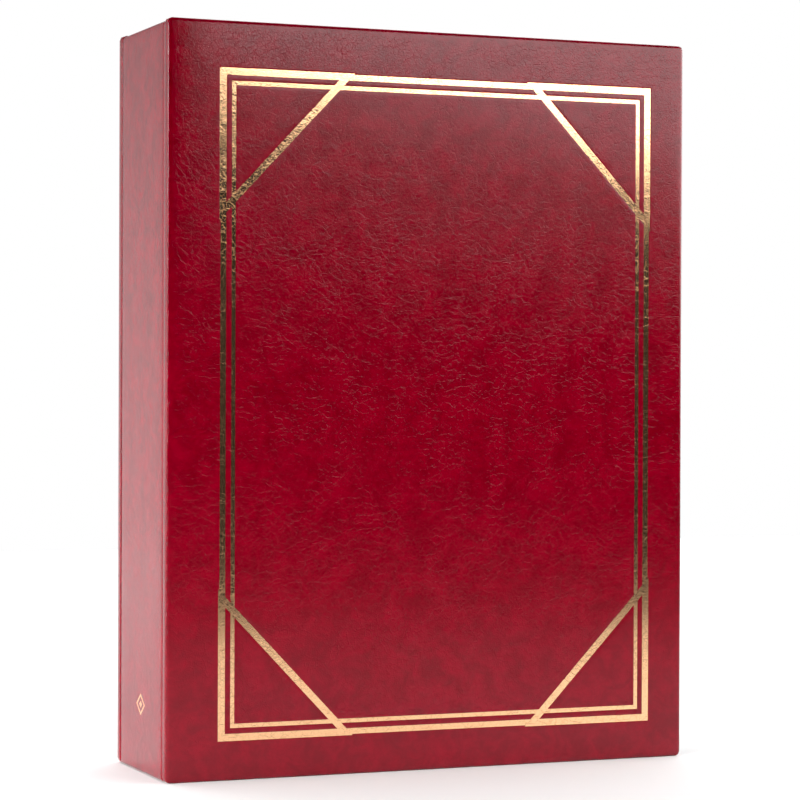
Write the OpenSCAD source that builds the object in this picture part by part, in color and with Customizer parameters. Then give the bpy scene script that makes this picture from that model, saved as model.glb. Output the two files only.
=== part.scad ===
// Padded stamp album, a sewn stockbook standing on its tail edge.
// Frame: origin under the middle of the closed album, +Z up towards the head, front cover at -Y, spine at -X.

/* [Album] */
// Height of the covers, tail to head
album_h = 305; // [250:1:340]
// Width of the closed album, spine to fore edge
album_w = 231; // [190:1:280]
// Thickness of the closed album over both covers
album_d = 70; // [58:0.5:90]

/* [Covers] */
// Leatherette thickness, on the faces, edges and turn-ins
skin_t = 0.5; // [0.4:0.1:0.8]
// Foam padding under the skin of each cover
padding_t = 2; // [1:0.1:3]
// Greyboard of each cover
board_t = 2.4; // [1.8:0.1:3]
// Endpaper thickness
paper_t = 0.2; // [0.15:0.05:0.3]
// Width of the turned-in margin inside each cover
turn_in = 15; // [10:1:25]
// Endpaper's distance from the cover's edges
paper_margin = 4.5; // [2:0.5:8]
// Rounding of each cover's outer face into its edges
face_round = 1.8; // [1:0.1:2.4]
// Rounding of each cover's inner face into its edges
back_round = 0.8; // [0.4:0.1:1]
// Rounding of the board's back edges
board_round = 0.2; // [0.1:0.05:0.3]
// Rounding of each cover's corners, seen from the front
corner_round = 2; // [1:0.1:5]

/* [Spine] */
// Stiff board inside the spine panel
spine_board_t = 2.4; // [1.8:0.1:3]
// Gap between the spine panel and each cover at the crease
crease_gap = 0.2; // [0.2:0.05:0.5]
// Rounding of the spine panel's long edges
spine_round = 1.1; // [0.6:0.1:1.4]
// Rounding of the spine panel's corners, seen from the spine
spine_corner = 0.8; // [0.3:0.1:1.5]
// How far the spine panel stops below the covers at the head
spine_drop = 1; // [0.5:0.1:2]
// How far the spine panel stands above the covers' tail edges
spine_lift = 0.4; // [0.2:0.1:1]

/* [Foil] */
// Foil thickness
foil_t = 0.08; // [0.05:0.01:0.12]
// Depth of the stamped channel that holds the foil
stamp_depth = 0.15; // [0.13:0.01:0.25]
// Frame's distance from the spine edge of the front cover
frame_left = 21.6; // [12:0.1:40]
// Frame's distance from the fore edge
frame_right = 16.1; // [12:0.1:40]
// Frame's distance from the head
frame_top = 19.1; // [12:0.1:40]
// Frame's distance from the tail
frame_bottom = 16; // [12:0.1:40]
// Width of each corner triangle of the foil frame
corner_leg = 58; // [30:1:80]
// Height of each corner triangle of the foil frame
corner_rise = 61; // [30:1:80]
// Width of the corner triangles' bands
corner_band = 2.9; // [2:0.1:4]
// How far the outer line steps in between the corners
line_step = 0.5; // [0.2:0.1:1]
// Clear space between the two lines
line_gap = 2.3; // [1.5:0.1:4]
// Width of the inner line
inner_line = 1.7; // [1:0.1:3]
// Width of the mark on the spine
mark_w = 12; // [6:0.5:20]
// Height of the mark on the spine
mark_h = 9; // [5:0.5:20]
// Height of the mark's centre above the tail
mark_z = 28; // [15:1:60]
// Width of the mark's line
mark_line = 1.1; // [0.6:0.1:2]

/* [Block] */
// Folios, each a folded card that makes two leaves
folio_count = 16; // [8:2:16]
// How far the covers overhang the leaves at head and tail
square_h = 4; // [2:0.5:8]
// How far the covers overhang the leaves at the fore edge
square_w = 5; // [3:0.5:10]
// Thickness of a leaf's card
card_t = 0.5; // [0.3:0.05:0.6]
// Thickness of the clear film strips
film_t = 0.12; // [0.08:0.01:0.15]
// Radius of the bore of each fold, where the thread runs
fold_bore_r = 0.25; // [0.22:0.01:0.3]
// Card left at the scored fold
fold_t = 0.3; // [0.2:0.05:0.35]
// Distance over which a folio widens from its fold
fold_run = 9; // [7:0.5:14]
// Room left for the flyleaf inside each cover
flyleaf_room = 1.4; // [1.2:0.1:2]
// Distance from each flyleaf to the endpaper pasted inside its cover
flyleaf_gap = 0.85; // [0.6:0.05:1]
// Flyleaf thickness
flyleaf_t = 0.25; // [0.2:0.05:0.3]

/* [Pockets] */
// Clear strips on each page
strip_count = 9; // [5:1:12]
// Margin from the leaf's edges to the film
film_margin = 4; // [2:0.5:10]
// Distance from the fold to the film
film_start = 14; // [12:0.5:20]
// Height of the slit between two strips
slit_h = 0.4; // [0.3:0.1:0.8]
// Film left at each end of a slit, where the strips are welded to the card
slit_end = 3; // [2:0.5:6]

/* [Sewing] */
// Thickness of the mull cloth
mull_t = 0.25; // [0.15:0.05:0.4]
// Mull's distance from the head and tail of the leaves
mull_short = 16; // [8:1:30]
// Thickness of the sewing tapes
tape_t = 0.4; // [0.3:0.05:0.6]
// Height of each sewing tape
tape_h = 12; // [8:1:16]
// Distance between neighbouring tapes
tape_pitch = 105; // [80:1:120]
// Radius of the sewing thread
thread_r = 0.18; // [0.12:0.01:0.2]
// Clear space between a fold and the tapes
fold_gap = 0.2; // [0.15:0.05:0.4]
// Radius of the head and tail bands
band_r = 1.2; // [0.8:0.1:1.5]
// Clear space between a band and the leaves
band_gap = 0.3; // [0.2:0.1:0.6]

/* [Hidden] */
$fn = 64;
eps = 0.01;

function id(i) = str(i < 10 ? "0" : "", i);

CASE = [
    "front_skin", "front_padding", "front_board", "front_pastedown", "front_foil_frame",
    "back_skin", "back_padding", "back_board", "back_pastedown",
    "spine_skin", "spine_board", "spine_lining", "spine_mark",
];
BLOCK = [
    "mull_cloth", "sewing_tapes", "sewing_thread", "head_band", "tail_band",
    "front_flyleaf", "back_flyleaf",
];

leather = "#960a28";
gold = "#d9b46e";
card_black = "#1d1b1c";
ivory = "#e9e1cb";

// Covers, through their thickness from the outer face
wrap_t = skin_t + padding_t + board_t + skin_t;
cover_t = wrap_t + paper_t;
front_y = -album_d / 2;
spine_x = -album_w / 2;
fore_x = album_w / 2;

// Spine panel, from its outer face inwards
panel_t = skin_t + spine_board_t + skin_t;
panel_y = album_d / 2 - cover_t - crease_gap;
panel_h = album_h - spine_drop - spine_lift;
mull_x = spine_x + panel_t;
tape_x = mull_x + mull_t;

// Folds stand in a row just inside the tapes
fold_r = fold_bore_r + fold_t;
fold_x = tape_x + tape_t + fold_gap + fold_r;
block_d = album_d - 2 * (cover_t + flyleaf_room);
pitch = block_d / folio_count;
leaf_w = fore_x - square_w - fold_x;
leaf_h = album_h - 2 * square_h;
flyleaf_y = album_d / 2 - cover_t - flyleaf_gap - flyleaf_t / 2;

// Leaf and film positions within one folio, measured from its middle plane
card_in = pitch / 4 - card_t / 2;
card_out = pitch / 4 + card_t / 2;
tape_z = [for (k = [-1:1]) album_h / 2 + k * tape_pitch];

// ---- shared shapes ----

// A plate's section, face along the first axis, edges rounded by face_r at the face and back_r behind it
module edge_section(width, thick, face_r, back_r) {
    translate([0, face_r]) square([width, thick - face_r - back_r]);
    translate([face_r, 0]) square([width - 2 * face_r, face_r + eps]);
    translate([back_r, thick - back_r - eps]) square([width - 2 * back_r, back_r + eps]);
    for (x = [face_r, width - face_r]) translate([x, face_r]) circle(face_r);
    for (x = [back_r, width - back_r]) translate([x, thick - back_r]) circle(back_r);
}

// A rectangle with round corners
module round_rect(width, height, r) {
    translate([r, 0]) square([width - 2 * r, height]);
    translate([0, r]) square([width, height - 2 * r]);
    for (x = [r, width - r], y = [r, height - r]) translate([x, y]) circle(r);
}

// A plate with its face at y = 0, its back at y = thick and its lower corner at the origin
module soft_plate(width, thick, height, face_r, back_r, corner_r) {
    intersection() {
        linear_extrude(height) edge_section(width, thick, face_r, back_r);
        translate([width, 0, 0]) rotate([0, -90, 0])
            linear_extrude(width) edge_section(height, thick, face_r, back_r);
        translate([0, thick, 0]) rotate([90, 0, 0])
            linear_extrude(thick) round_rect(width, height, corner_r);
    }
}

// ---- covers, drawn as the front one and mirrored for the back ----

// The wrapped cover's outer shape
module cover_blank() {
    translate([spine_x, front_y, 0])
        soft_plate(album_w, wrap_t, album_h, face_round, back_round, corner_round);
}

// The space inside the skin, from one depth behind the face to another
module cover_core(from, to) {
    intersection() {
        translate([spine_x + skin_t, front_y + skin_t, skin_t])
            soft_plate(
                album_w - 2 * skin_t, padding_t + board_t, album_h - 2 * skin_t,
                face_round - skin_t, board_round, corner_round - skin_t
            );
        translate([spine_x, front_y + from, 0]) cube([album_w, to - from, album_h]);
    }
}

// The window left between the turn-ins, through the given depths
module turn_in_window(from, to) {
    translate([spine_x + turn_in, front_y + from, turn_in])
        cube([album_w - 2 * turn_in, to - from, album_h - 2 * turn_in]);
}

module cover_skin() {
    color(leather) difference() {
        cover_blank();
        cover_core(0, wrap_t);
        turn_in_window(wrap_t - skin_t - eps, wrap_t + eps);
    }
}

module cover_padding() {
    color("#d8d4c8") cover_core(0, skin_t + padding_t);
}

module cover_board() {
    color("#8f8676") cover_core(skin_t + padding_t, wrap_t);
}

module cover_pastedown() {
    color(ivory) {
        turn_in_window(wrap_t - skin_t, wrap_t);
        translate([spine_x + paper_margin, front_y + wrap_t, paper_margin])
            cube([album_w - 2 * paper_margin, paper_t, album_h - 2 * paper_margin]);
    }
}

// ---- foil ----

// A corner triangle's outline, right angle at the origin, of the given width and height
module corner_triangle(leg, rise, band) {
    inner = 1 - band * (1 / leg + 1 / rise + norm([1 / leg, 1 / rise]));
    difference() {
        polygon([[0, 0], [leg, 0], [0, rise]]);
        translate([band, band]) polygon([[0, 0], [leg * inner, 0], [0, rise * inner]]);
    }
}

// A rectangle's outline of the given line width
module rect_line(width, height, line) {
    difference() {
        square([width, height]);
        translate([line, line]) square([width - 2 * line, height - 2 * line]);
    }
}

// The frame on the front cover, seen from outside
module frame_outline() {
    width = album_w - frame_left - frame_right;
    height = album_h - frame_top - frame_bottom;
    inset = corner_band + line_gap;
    translate([line_step, line_step])
        rect_line(width - 2 * line_step, height - 2 * line_step, corner_band - line_step);
    translate([inset, inset]) rect_line(width - 2 * inset, height - 2 * inset, inner_line);
    corner_triangle(corner_leg, corner_rise, corner_band);
    translate([width, 0]) mirror([1, 0]) corner_triangle(corner_leg, corner_rise, corner_band);
    translate([0, height]) mirror([0, 1]) corner_triangle(corner_leg, corner_rise, corner_band);
    translate([width, height]) mirror([1, 0]) mirror([0, 1]) corner_triangle(corner_leg, corner_rise, corner_band);
}

// The frame as a layer of the front cover, between two depths
module frame_layer(from, to) {
    translate([spine_x + frame_left, front_y + to, frame_bottom])
        rotate([90, 0, 0]) linear_extrude(to - from) frame_outline();
}

// The spine's mark, a lozenge with a smaller one inside
module mark_outline() {
    difference() {
        lozenge(mark_w, mark_h);
        lozenge(mark_w - 3 * mark_line, mark_h - 3 * mark_line * mark_h / mark_w);
    }
    lozenge(mark_w / 3, mark_h / 3);
}

module lozenge(width, height) {
    polygon([[-width / 2, 0], [0, -height / 2], [width / 2, 0], [0, height / 2]]);
}

// The mark as a layer of the spine, between two depths
module mark_layer(from, to) {
    translate([spine_x + from, 0, mark_z])
        rotate([90, 0, 90]) linear_extrude(to - from) mark_outline();
}

module front_skin() {
    color(leather) difference() {
        cover_skin();
        frame_layer(-eps, stamp_depth);
    }
}
module front_padding() { cover_padding(); }
module front_board() { cover_board(); }
module front_pastedown() { cover_pastedown(); }
module front_foil_frame() {
    color(gold) frame_layer(stamp_depth - foil_t, stamp_depth);
}

module back_skin() { mirror([0, 1, 0]) cover_skin(); }
module back_padding() { mirror([0, 1, 0]) cover_padding(); }
module back_board() { mirror([0, 1, 0]) cover_board(); }
module back_pastedown() { mirror([0, 1, 0]) cover_pastedown(); }

// ---- spine panel ----

// The space inside the spine's skin
module spine_core() {
    translate([spine_x + skin_t, -panel_y + skin_t, spine_lift + skin_t])
        cube([spine_board_t, 2 * (panel_y - skin_t), panel_h - 2 * skin_t]);
}

// The window between the spine's turn-ins at head and tail
module spine_window(from, to) {
    translate([spine_x + from, -panel_y + skin_t, spine_lift + turn_in])
        cube([to - from, 2 * (panel_y - skin_t), panel_h - 2 * turn_in]);
}

module spine_skin() {
    color(leather) difference() {
        translate([spine_x, panel_y, spine_lift]) rotate([0, 0, -90])
            soft_plate(2 * panel_y, panel_t, panel_h, spine_round, back_round, spine_corner);
        spine_core();
        spine_window(panel_t - skin_t - eps, panel_t + eps);
        mark_layer(-eps, stamp_depth);
    }
}

module spine_board() { color("#8f8676") spine_core(); }
module spine_lining() { color(ivory) spine_window(panel_t - skin_t, panel_t); }
module spine_mark() { color(gold) mark_layer(stamp_depth - foil_t, stamp_depth); }

// ---- sewn block ----

module mull_cloth() {
    color("#cfc7b2")
        translate([mull_x, -block_d / 2, square_h + mull_short])
            cube([mull_t, block_d, leaf_h - 2 * mull_short]);
}

module sewing_tapes() {
    color("#e4dcc6") for (z = tape_z)
        translate([tape_x, -block_d / 2, z - tape_h / 2]) cube([tape_t, block_d, tape_h]);
}

// The thread runs up each fold and comes out to the tapes above and below each of them
module sewing_thread() {
    reach = fold_x - tape_x - tape_t;
    top = tape_z[2] + tape_h / 2 - thread_r;
    bottom = tape_z[0] - tape_h / 2 + thread_r;
    color("#f1ecdd") for (i = [1:folio_count]) translate([fold_x, folio_y(i), 0]) {
        translate([0, 0, bottom]) cylinder(h = top - bottom, r = thread_r);
        for (z = tape_z, side = [-1, 1])
            translate([-reach, 0, z + side * (tape_h / 2 - thread_r)])
                rotate([0, 90, 0]) cylinder(h = reach, r = thread_r);
    }
}

// A band of rolled cloth across the ends of the folds, against the spine panel
module band(z) {
    color("#b8283c")
        translate([mull_x + band_r, block_d / 2, z]) rotate([90, 0, 0]) cylinder(h = block_d, r = band_r);
}

module head_band() { band(album_h - square_h + band_gap + band_r); }
module tail_band() { band(square_h - band_gap - band_r); }

// A flyleaf, with the round of its fold on its hinge line
module flyleaf(y) {
    color(ivory) translate([fold_x, y, square_h]) linear_extrude(leaf_h) {
        circle(flyleaf_t / 2);
        translate([0, -flyleaf_t / 2]) square([leaf_w, flyleaf_t]);
    }
}

module front_flyleaf() { flyleaf(-flyleaf_y); }
module back_flyleaf() { flyleaf(flyleaf_y); }

function folio_y(i) = (i - (folio_count + 1) / 2) * pitch;

// A fold of the given radius that widens into a pair of leaves of the given half thickness
module fold_wedge(r, half, length) {
    circle(r);
    polygon([[0, -r], [fold_run, -half], [length, -half], [length, half], [fold_run, half], [0, r]]);
}

// One folded card, cut away at each tape so that the thread can come out
module folio(i) {
    past = 1;
    notch_h = tape_h + 2;
    notch_run = 3;
    color(card_black) translate([fold_x, folio_y(i), square_h]) difference() {
        linear_extrude(leaf_h) difference() {
            fold_wedge(fold_r, card_out, leaf_w);
            fold_wedge(fold_bore_r, card_in, leaf_w + past);
        }
        for (z = tape_z)
            translate([-fold_r - past, -card_out, z - square_h - notch_h / 2])
                cube([fold_r + past + notch_run, 2 * card_out, notch_h]);
    }
}

// One page's film: strips welded to the card at both ends and open along their upper edges
module page_film() {
    width = leaf_w - film_start - film_margin;
    height = leaf_h - 2 * film_margin;
    strip = height / strip_count;
    difference() {
        cube([width, film_t, height]);
        for (k = [1:strip_count - 1])
            translate([slit_end, -eps, k * strip - slit_h / 2])
                cube([width - 2 * slit_end, film_t + 2 * eps, slit_h]);
    }
}

module strips(i) {
    color("#cfd6d8", 0.5)
        for (y = [-card_out - film_t, -card_in, card_in - film_t, card_out])
            translate([fold_x + film_start, folio_y(i) + y, square_h + film_margin]) page_film();
}

// ---- drawing ----

front_skin();
front_padding();
front_board();
front_pastedown();
front_foil_frame();
back_skin();
back_padding();
back_board();
back_pastedown();
spine_skin();
spine_board();
spine_lining();
spine_mark();
mull_cloth();
sewing_tapes();
sewing_thread();
head_band();
tail_band();
front_flyleaf();
back_flyleaf();
for (i = [1:folio_count]) {
    folio(i);
    strips(i);
}
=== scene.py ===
import math

import bmesh
import bpy
from mathutils import Matrix, Quaternion, Vector


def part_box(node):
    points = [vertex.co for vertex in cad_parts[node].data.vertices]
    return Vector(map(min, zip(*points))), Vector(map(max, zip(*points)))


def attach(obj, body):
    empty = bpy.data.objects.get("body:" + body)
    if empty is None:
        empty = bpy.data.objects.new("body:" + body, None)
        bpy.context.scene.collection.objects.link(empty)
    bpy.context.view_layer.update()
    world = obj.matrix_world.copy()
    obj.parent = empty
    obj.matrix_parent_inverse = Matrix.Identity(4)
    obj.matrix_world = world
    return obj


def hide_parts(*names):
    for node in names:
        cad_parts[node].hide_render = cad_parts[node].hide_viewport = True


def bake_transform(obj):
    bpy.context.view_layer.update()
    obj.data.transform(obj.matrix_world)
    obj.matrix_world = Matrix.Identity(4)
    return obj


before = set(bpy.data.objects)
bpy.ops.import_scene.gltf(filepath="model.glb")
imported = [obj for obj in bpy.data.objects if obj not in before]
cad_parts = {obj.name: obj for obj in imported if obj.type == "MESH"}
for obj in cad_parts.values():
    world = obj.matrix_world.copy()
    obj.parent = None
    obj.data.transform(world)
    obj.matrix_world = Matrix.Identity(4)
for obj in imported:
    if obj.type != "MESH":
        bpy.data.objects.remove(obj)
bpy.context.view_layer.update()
scene = bpy.context.scene
MM = 0.001

# ---- Studio ----
# The closed album stands on a white table against white, in a room that is dark behind the camera. A large
# soft card high on the right gives the cover its sheen, and the bright far wall gives the spine its own.
# Smaller cards overhead, on the left and low in front fill in the table, the spine and the cover's foot.

CAMERA_PLACE = (-0.4349, -1.0578, 0.1602)
CAMERA_YAW = math.radians(22.29)
CAMERA_PITCH = math.radians(-0.38)
CAMERA_ROLL = math.radians(-0.22)
CAMERA_LENS = 121.05
CAMERA_SENSOR = 36
CAMERA_CLIP = (0.05, 30)

CARD_YAW = math.radians(62)
CARD_DISTANCE = 0.7
CARD_SIZE = (1.72, 0.5)
CARD_RISE = 0.485
CARD_ROLL = math.radians(13)
CARD_RADIANCE = 4.6

OVERHEAD_PLACE = (0.2, 1.6, 1.5)
OVERHEAD_SIZE = (3.4, 2.2)
OVERHEAD_RADIANCE = 3.2

FOOT_CARD_PLACE = (-1.05, -0.62, 0.35)
FOOT_CARD_TARGET = (0, -0.03, -0.02)
FOOT_CARD_SIZE = (0.4, 0.4)
FOOT_CARD_SPREAD = math.radians(30)
FOOT_CARD_RADIANCE = 1.5

LEFT_CARD_PLACE = (-1.3, 0.15, 0.4)
LEFT_CARD_TARGET = (0, 0, 0.15)
LEFT_CARD_SIZE = (0.8, 0.8)
LEFT_CARD_RADIANCE = 4.6

WALL_RADIANCE = 1.2
ROOM_RADIANCE = 0.01
WALL_FROM_ROOM = (-0.1, 0.5)
WALL_FADES_UPWARD = (-0.1, 0.3)
WALL_TOP_SHARE = 0.25

TABLE_HALF_WIDTH = 1.2
TABLE_FRONT, TABLE_BACK = -0.65, 1.4
TABLE_WHITE = 0.84
TABLE_ROUGHNESS = 0.8

BLACK_LEVEL = 0.003


def aim_camera():
    lens = bpy.data.cameras.new("album_camera")
    lens.lens = CAMERA_LENS
    lens.sensor_width = CAMERA_SENSOR
    lens.clip_start, lens.clip_end = CAMERA_CLIP
    camera = bpy.data.objects.new("album_camera", lens)
    scene.collection.objects.link(camera)
    forward = Vector((
        math.sin(CAMERA_YAW) * math.cos(CAMERA_PITCH),
        math.cos(CAMERA_YAW) * math.cos(CAMERA_PITCH),
        math.sin(CAMERA_PITCH),
    ))
    camera.rotation_mode = "QUATERNION"
    camera.rotation_quaternion = Quaternion(forward, CAMERA_ROLL) @ forward.to_track_quat("-Z", "Y")
    camera.location = CAMERA_PLACE
    scene.camera = camera


def soft_card(name, place, target, size, radiance, spread=math.pi, roll=0.0):
    """A flat soft light of an even radiance, with a grid over it where its spread is narrow."""
    lamp = bpy.data.lights.new(name, "AREA")
    lamp.shape = "RECTANGLE"
    lamp.size, lamp.size_y = size
    lamp.energy = radiance * math.pi * size[0] * size[1]
    lamp.spread = spread
    holder = bpy.data.objects.new(name, lamp)
    scene.collection.objects.link(holder)
    holder.location = place
    holder.rotation_mode = "QUATERNION"
    way = Vector(target) - Vector(place)
    holder.rotation_quaternion = Quaternion(way, roll) @ way.to_track_quat("-Z", "Y")
    holder.visible_camera = False


def studio_walls():
    """The far wall is bright and the room behind the camera dark; looked at directly, both are white."""
    world = bpy.data.worlds.new("studio")
    scene.world = world
    world.use_nodes = True
    nodes, links = world.node_tree.nodes, world.node_tree.links
    nodes.clear()
    out = nodes.new("ShaderNodeOutputWorld")
    either = nodes.new("ShaderNodeMixShader")
    path = nodes.new("ShaderNodeLightPath")
    seen = nodes.new("ShaderNodeBackground")
    seen.inputs["Color"].default_value = (1, 1, 1, 1)
    lit = nodes.new("ShaderNodeBackground")
    way = nodes.new("ShaderNodeTexCoord")
    split = nodes.new("ShaderNodeSeparateXYZ")
    both = nodes.new("ShaderNodeMath")
    both.operation = "MULTIPLY"
    links.new(way.outputs["Generated"], split.inputs[0])
    ramps = (
        ("Y", (*WALL_FROM_ROOM, ROOM_RADIANCE, WALL_RADIANCE)),
        ("Z", (*WALL_FADES_UPWARD, 1.0, WALL_TOP_SHARE)),
    )
    for factor, (axis, limits) in zip(both.inputs, ramps):
        ramp = nodes.new("ShaderNodeMapRange")
        ramp.interpolation_type = "SMOOTHSTEP"
        for label, limit in zip(("From Min", "From Max", "To Min", "To Max"), limits):
            ramp.inputs[label].default_value = limit
        links.new(split.outputs[axis], ramp.inputs["Value"])
        links.new(ramp.outputs[0], factor)
    links.new(both.outputs[0], lit.inputs["Color"])
    links.new(path.outputs["Is Camera Ray"], either.inputs[0])
    links.new(lit.outputs[0], either.inputs[1])
    links.new(seen.outputs[0], either.inputs[2])
    links.new(either.outputs[0], out.inputs["Surface"])


def table_top():
    mesh = bpy.data.meshes.new("table")
    corners = [(-TABLE_HALF_WIDTH, TABLE_FRONT, 0), (TABLE_HALF_WIDTH, TABLE_FRONT, 0)]
    corners += [(TABLE_HALF_WIDTH, TABLE_BACK, 0), (-TABLE_HALF_WIDTH, TABLE_BACK, 0)]
    mesh.from_pydata(corners, [], [(0, 1, 2, 3)])
    table = bpy.data.objects.new("table", mesh)
    scene.collection.objects.link(table)
    paint = bpy.data.materials.new("white_table")
    paint.use_nodes = True
    shader = paint.node_tree.nodes["Principled BSDF"]
    shader.inputs["Base Color"].default_value = (TABLE_WHITE, TABLE_WHITE, TABLE_WHITE, 1)
    shader.inputs["Roughness"].default_value = TABLE_ROUGHNESS
    mesh.materials.append(paint)


scene.view_settings.view_transform = "Standard"
scene.view_settings.use_curve_mapping = True
scene.view_settings.curve_mapping.black_level = (BLACK_LEVEL, BLACK_LEVEL, BLACK_LEVEL)
scene.view_settings.curve_mapping.update()
aim_camera()
soft_card(
    "right_card",
    (CARD_DISTANCE * math.sin(CARD_YAW), -CARD_DISTANCE * math.cos(CARD_YAW), CARD_RISE),
    (0, 0, CARD_RISE), CARD_SIZE, CARD_RADIANCE, roll=CARD_ROLL,
)
soft_card("overhead_card", OVERHEAD_PLACE, (*OVERHEAD_PLACE[:2], 0), OVERHEAD_SIZE, OVERHEAD_RADIANCE)
soft_card(
    "foot_card", FOOT_CARD_PLACE, FOOT_CARD_TARGET, FOOT_CARD_SIZE, FOOT_CARD_RADIANCE, FOOT_CARD_SPREAD,
)
soft_card("left_card", LEFT_CARD_PLACE, LEFT_CARD_TARGET, LEFT_CARD_SIZE, LEFT_CARD_RADIANCE)
studio_walls()
table_top()

# ---- Covers ----
# Each cover is a board with a layer of foam under embossed red leatherette. The leatherette is glued round
# the edges and turned in inside, and the padded face falls away softly, most of all beside the spine.

SKIN = 0.5 * MM
TURN_IN = 15 * MM
FACE_ROUND = 1.8 * MM
BACK_ROUND = 0.8 * MM
CORNER_ROUND = 2.0 * MM
LEAST_ROUND = 0.3 * MM
ROUND_STEPS = 6
FACE_STEP = 2.0 * MM
STAMP_DEPTH = 0.05 * MM
CUT_MERGE = 0.001 * MM
SPINE_SIDE_FALL = (0.8 * MM, 7 * MM)
OTHER_SIDES_FALL = (0.25 * MM, 4 * MM)

CASE_LO, CASE_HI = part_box("front_skin")
COVER_W, COVER_T, COVER_H = CASE_HI - CASE_LO

LEATHER_CELL = 0.95 * MM
LEATHER_RED = (0.235, 0.0005, 0.0110)
LEATHER_DEEP = (0.155, 0.0003, 0.0065)
LEATHER_ROUGHNESS = (0.06, 0.12)
LEATHER_BUMP = 0.030 * MM
LEATHER_IOR = 1.42
CREASE_SHADE = 0.45


def cover_fall(u, z):
    """How far the padded face lies behind the cover's front plane, with u measured from the spine side."""
    depth, reach = SPINE_SIDE_FALL
    fall = depth * math.exp(-u / reach)
    depth, reach = OTHER_SIDES_FALL
    return fall + sum(depth * math.exp(-edge / reach) for edge in (COVER_W - u, z, COVER_H - z))


def rounded_outline(q, width, height, inset, corner):
    """Where the point q of a full rectangle's outline comes to lie once it is set in with round corners."""
    corner = max(corner - inset, LEAST_ROUND)
    edge = inset + corner
    middle = Vector((min(max(q[0], edge), width - edge), min(max(q[1], edge), height - edge)))
    way = Vector(q) - middle
    return middle + way.normalized() * corner


def wrap_path(thick, face_round, back_round):
    """(set-in, depth) of the skin from the face over the edge and round to the end of the turn-in."""
    steps = [math.pi / 2 * k / ROUND_STEPS for k in range(ROUND_STEPS + 1)]
    path = [(face_round * (1 - math.sin(a)), face_round * (1 - math.cos(a))) for a in steps]
    path += [(back_round * (1 - math.cos(a)), thick - back_round * (1 - math.sin(a))) for a in steps]
    inside = 1.5 * SKIN
    return path + [(TURN_IN, thick), (TURN_IN, thick - SKIN), (inside, thick - SKIN), (inside, 2 * SKIN)]


def cut_face(bm, cuts):
    """Cuts the face's grid along lines, each a (point, direction, which faces) in width and height."""
    for start, along, chosen in cuts:
        faces = [f for f in bm.faces if chosen(*f.calc_center_median().xz)]
        edges = {e for f in faces for e in f.edges}
        verts = {v for f in faces for v in f.verts}
        bmesh.ops.bisect_plane(
            bm, geom=[*faces, *edges, *verts], dist=CUT_MERGE,
            plane_co=(start[0], 0, start[1]), plane_no=(along[1], 0, -along[0]),
        )


def new_piece(name, bm, material, smooth=40):
    mesh = bpy.data.meshes.new(name)
    bm.to_mesh(mesh)
    bm.free()
    mesh.shade_smooth()
    mesh.set_sharp_from_angle(angle=math.radians(smooth))
    mesh.materials.append(material)
    piece = bpy.data.objects.new(name, mesh)
    scene.collection.objects.link(piece)
    return piece


def board_wrap(name, size, rounds, fall, place, material, cuts=(), stamped=None):
    """Leatherette wrapped round one board, its face a grid that is sunk where it is stamped.

    Returns the piece, and the outlines of the stamped faces in the album's frame.
    """
    width, thick, height = size
    face_round, back_round, corner = rounds
    across, up = round(width / FACE_STEP), round(height / FACE_STEP)
    bm = bmesh.new()
    grid = {}
    for i in range(across + 1):
        for j in range(up + 1):
            q = (width * i / across, height * j / up)
            if i in (0, across) or j in (0, up):
                u, z = rounded_outline(q, width, height, face_round, corner)
            else:
                u = face_round + q[0] * (1 - 2 * face_round / width)
                z = face_round + q[1] * (1 - 2 * face_round / height)
            grid[i, j] = bm.verts.new((u, 0, z))
    for i in range(across):
        for j in range(up):
            bm.faces.new((grid[i, j], grid[i + 1, j], grid[i + 1, j + 1], grid[i, j + 1]))
    cut_face(bm, cuts)
    for v in bm.verts:
        u, _, z = v.co
        v.co.y = fall(u, z) + (STAMP_DEPTH if stamped and stamped(u, z) else 0)
    outlines = []
    if stamped:
        faces = [f for f in bm.faces if stamped(*f.calc_center_median().xz)]
        outlines = [[place @ v.co for v in f.verts] for f in faces]

    ring = [(i, 0) for i in range(across)] + [(across, j) for j in range(up)]
    ring += [(i, up) for i in range(across, 0, -1)] + [(0, j) for j in range(up, 0, -1)]
    previous = [grid[key] for key in ring]
    for inset, depth in wrap_path(thick, face_round, back_round)[1:]:
        share = max(0.0, 1 - depth / face_round)
        loop = []
        for i, j in ring:
            u, z = rounded_outline((width * i / across, height * j / up), width, height, inset, corner)
            loop.append(bm.verts.new((u, depth + share * fall(u, z), z)))
        for k in range(len(loop)):
            after = (k + 1) % len(loop)
            bm.faces.new((previous[k], loop[k], loop[after], previous[after]))
        previous = loop
    bm.faces.new(previous)
    bm.transform(place)
    bmesh.ops.recalc_face_normals(bm, faces=bm.faces)
    return new_piece(name, bm, material), outlines


def board_place(corner, across, inward):
    """Takes (width, depth, height) on a board to the album's frame."""
    return Matrix((
        (across[0], inward[0], 0, corner[0]),
        (across[1], inward[1], 0, corner[1]),
        (0, 0, 1, corner[2]),
        (0, 0, 0, 1),
    ))


def new_group(name, inputs, outputs):
    group = bpy.data.node_groups.new(name, "ShaderNodeTree")
    for label, kind, value in inputs:
        socket = group.interface.new_socket(label, in_out="INPUT", socket_type=kind)
        if value is not None:
            socket.default_value = value
    for label in outputs:
        group.interface.new_socket(label, in_out="OUTPUT", socket_type="NodeSocketFloat")
    return group, group.nodes.new("NodeGroupInput").outputs, group.nodes.new("NodeGroupOutput").inputs


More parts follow.
